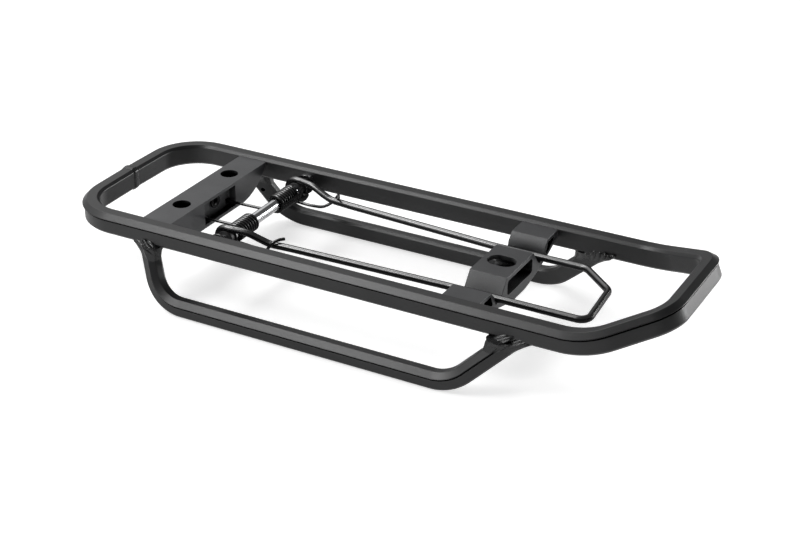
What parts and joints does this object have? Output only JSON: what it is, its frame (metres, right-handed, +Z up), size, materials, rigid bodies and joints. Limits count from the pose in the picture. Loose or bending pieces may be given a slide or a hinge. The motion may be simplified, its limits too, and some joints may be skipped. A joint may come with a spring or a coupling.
{
  "type": "rear rack",
  "caption": "Low bicycle rear rack: grooved tube frame with rising tail, side loops, front crossbeam, slotted rear bracket and a sprung hinged wire bow.",
  "frame": {"origin": "on the rack's middle plane, level with the undersides of the side loops, halfway along its length", "axes": "+X towards the tail of the rack (rear of the bicycle), +Y towards the bicycle's right side, +Z up"},
  "size_m": [0.4486, 0.1754, 0.0753],
  "materials": {
    "powder_coat": "satin black powder coat with a fine texture",
    "black_wire": "gloss black coating on spring wire and small steel parts",
    "bare_steel": "zinc plated steel",
    "bush_polymer": "black moulded polymer"
  },
  "bodies": {
    "rack": {"top_frame_tube": "powder_coat", "front_seam_weld": "powder_coat", "front_crossbeam": "powder_coat", "crossbeam_web": "powder_coat", "rear_bracket": "powder_coat", "centre_insert": "black_wire", "pivot_axle": "bare_steel", "right_side_loop": "powder_coat", "right_front_leg_weld": "powder_coat", "right_rear_leg_weld": "powder_coat", "right_axle_nut": "bare_steel", "right_axle_washer": "black_wire", "right_torsion_spring": "black_wire", "left_side_loop": "powder_coat", "left_front_leg_weld": "powder_coat", "left_rear_leg_weld": "powder_coat", "left_axle_nut": "bare_steel", "left_axle_washer": "black_wire", "left_torsion_spring": "black_wire"},
    "bow": {"spring_bow": "black_wire", "right_bow_bush": "bush_polymer", "right_spring_hook": "black_wire", "left_bow_bush": "bush_polymer", "left_spring_hook": "black_wire"}
  },
  "joints": [
    {"name": "bow_hinge", "type": "hinge", "parent": "rack", "child": "bow", "pos_m": [-0.10048, 0, 0.0469], "axis": [0, -1, 0], "range_deg": [0, 80]}
  ]
}
